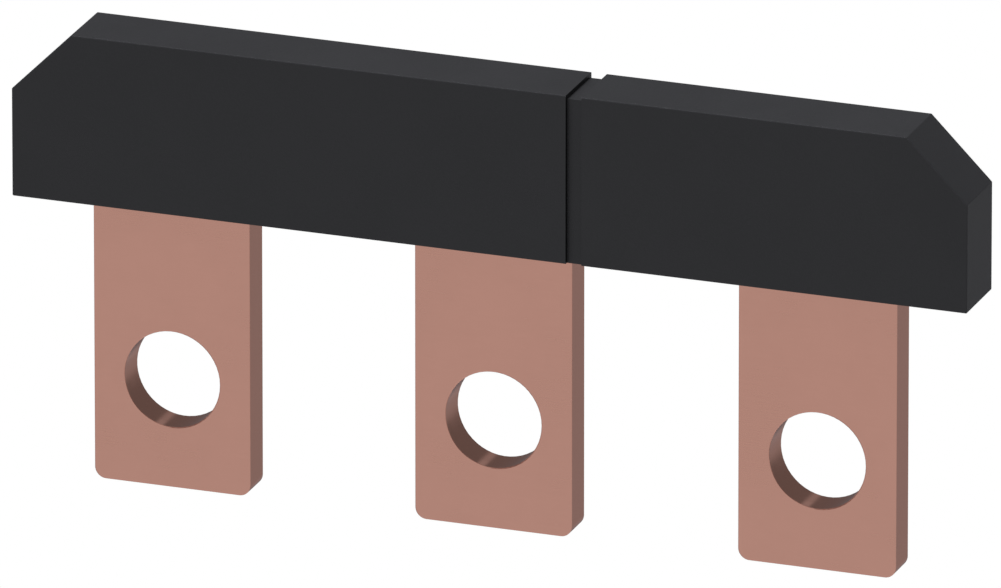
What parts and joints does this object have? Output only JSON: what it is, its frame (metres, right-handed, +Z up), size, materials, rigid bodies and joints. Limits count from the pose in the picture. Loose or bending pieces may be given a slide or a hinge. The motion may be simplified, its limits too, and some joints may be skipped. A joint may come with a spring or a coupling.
{
  "type": "contactor connecting link",
  "caption": "Insulated link that joins neighbouring contactor poles: flat copper lugs with bolt holes under a black moulded cap with bevelled upper corners and a saw groove.",
  "frame": {"origin": "centre of the middle lug's bolt hole, in the contact plane at the back of the lugs", "axes": "+X from pole to pole, to the right seen from the front; +Y out of the back of the lugs, towards the contactor's terminals; +Z up from the bolt holes to the cap"},
  "size_m": [0.1092, 0.0082, 0.0513],
  "materials": {
    "copper": "satin",
    "black_plastic": "satin"
  },
  "bodies": {
    "root": {"copper_comb": "copper", "insulating_cap": "black_plastic"}
  },
  "joints": []
}
